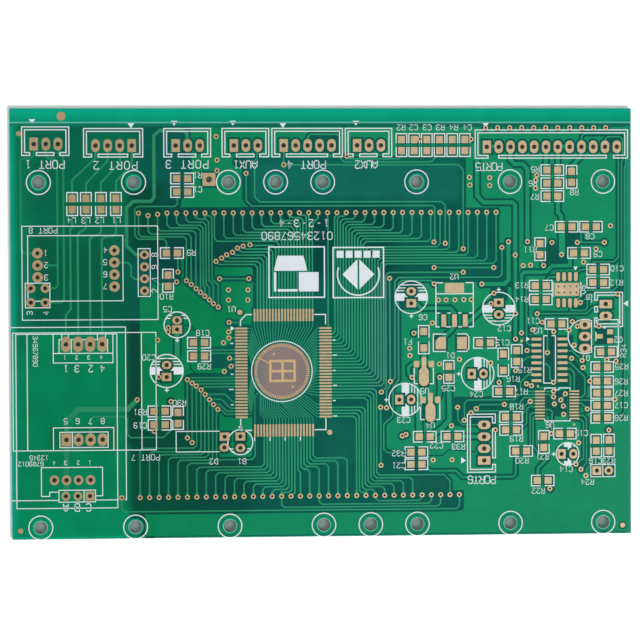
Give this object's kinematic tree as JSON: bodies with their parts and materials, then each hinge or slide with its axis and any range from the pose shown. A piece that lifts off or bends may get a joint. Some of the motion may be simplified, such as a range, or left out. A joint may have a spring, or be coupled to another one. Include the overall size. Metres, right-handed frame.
{
  "type": "ups power supply control board",
  "caption": "Bare double-sided control board of an uninterruptible power supply: green mask, tan lands, white legend, processor site.",
  "frame": {"origin": "centre of the underside of the board", "axes": "+X along the long edge, +Y towards the handling rail, +Z out of the component side"},
  "size_m": [0.132, 0.091, 0.0016],
  "materials": {
    "laminate": "woven glass laminate, matte at its cut edges",
    "bare_laminate": "bare resin in the die site, mauve grey",
    "solder_mask": "dark green solder mask over laminate",
    "masked_copper": "green solder mask over copper, lighter than over laminate",
    "coated_lands": "bare copper lands with a thin pale tan coat",
    "gold_plate": "soft gold plate for bonding",
    "tinned_rings": "via lands and plated barrels",
    "legend_ink": "white legend ink"
  },
  "bodies": {
    "root": {"bond_fingers": "gold_plate", "capacitor_lands": "coated_lands", "chip_lands": "coated_lands", "connector_vias": "tinned_rings", "converter_lands": "coated_lands", "die_pad": "gold_plate", "die_site_floor": "bare_laminate", "diode_lands": "coated_lands", "driver_lands": "coated_lands", "fiducials": "coated_lands", "ground_pour": "masked_copper", "jumper_lands": "coated_lands", "laminate_core": "laminate", "legend_capacitors": "legend_ink", "legend_chips": "legend_ink", "legend_connectors": "legend_ink", "legend_hole_rings": "legend_ink", "legend_modules": "legend_ink", "legend_packages": "legend_ink", "loose_vias": "tinned_rings", "lower_bus_tracks": "masked_copper", "lower_via_row": "tinned_rings", "module_lands": "coated_lands", "port_lands": "coated_lands", "power_tracks": "masked_copper", "processor_fan_tracks": "masked_copper", "processor_lands": "coated_lands", "regulator_lands": "coated_lands", "sensor_tracks": "masked_copper", "signal_tracks": "masked_copper", "slanted_vias": "tinned_rings", "solder_mask_bottom": "solder_mask", "solder_mask_top": "solder_mask", "supply_tracks": "masked_copper", "top_connector_lands": "coated_lands", "transistor_lands": "coated_lands", "upper_bus_tracks": "masked_copper", "upper_via_row": "tinned_rings"}
  },
  "joints": []
}
